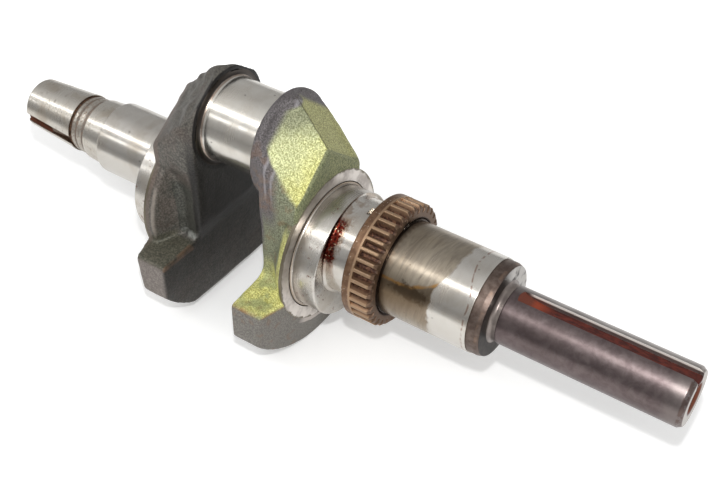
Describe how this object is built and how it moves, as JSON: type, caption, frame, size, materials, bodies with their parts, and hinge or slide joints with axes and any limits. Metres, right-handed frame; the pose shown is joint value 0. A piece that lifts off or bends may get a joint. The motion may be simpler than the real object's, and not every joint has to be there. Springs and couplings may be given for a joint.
{
  "type": "crankshaft",
  "caption": "Forged crankshaft of a single-cylinder small engine, with a keyed output shaft, timing gear, balancer eccentrics and flywheel taper",
  "frame": {"origin": "on the axis of rotation, at the middle of the power take-off main journal", "axes": "+X along the shaft towards the power take-off end, +Z along the throw towards the crankpin, +Y completes the right-handed set"},
  "size_m": [0.342, 0.0924, 0.1217],
  "materials": {
    "polished_steel": "polished bearing surfaces with faint oil stains",
    "machined_steel": "fine turned steel",
    "gunmetal_steel": "ground steel, darkened by handling",
    "oiled_steel": "unpolished band with dried oil",
    "rusted_steel": "dark turned groove with rust",
    "gear_steel": "brown oiled gear steel",
    "raw_forging": "shot-blasted forging with an olive oil film",
    "dark_forging": "dark grey-brown forging skin"
  },
  "bodies": {
    "root": {"output_shaft": "gunmetal_steel", "output_shaft_root": "gunmetal_steel", "output_shaft_neck": "machined_steel", "journal_shoulder": "oiled_steel", "pto_main_journal": "polished_steel", "timing_gear": "gear_steel", "gear_key": "gear_steel", "gear_seat": "polished_steel", "pto_eccentric": "polished_steel", "pto_thrust_disc": "machined_steel", "pto_web": "raw_forging", "pto_counterweight": "dark_forging", "pto_cheek": "dark_forging", "pin_fillet_pto": "polished_steel", "crankpin": "polished_steel", "pin_fillet_flywheel": "polished_steel", "flywheel_web": "dark_forging", "flywheel_counterweight": "dark_forging", "flywheel_thrust_disc": "dark_forging", "flywheel_eccentric": "polished_steel", "magneto_journal": "polished_steel", "taper_root": "machined_steel", "taper_groove": "rusted_steel", "flywheel_taper": "machined_steel"}
  },
  "joints": []
}
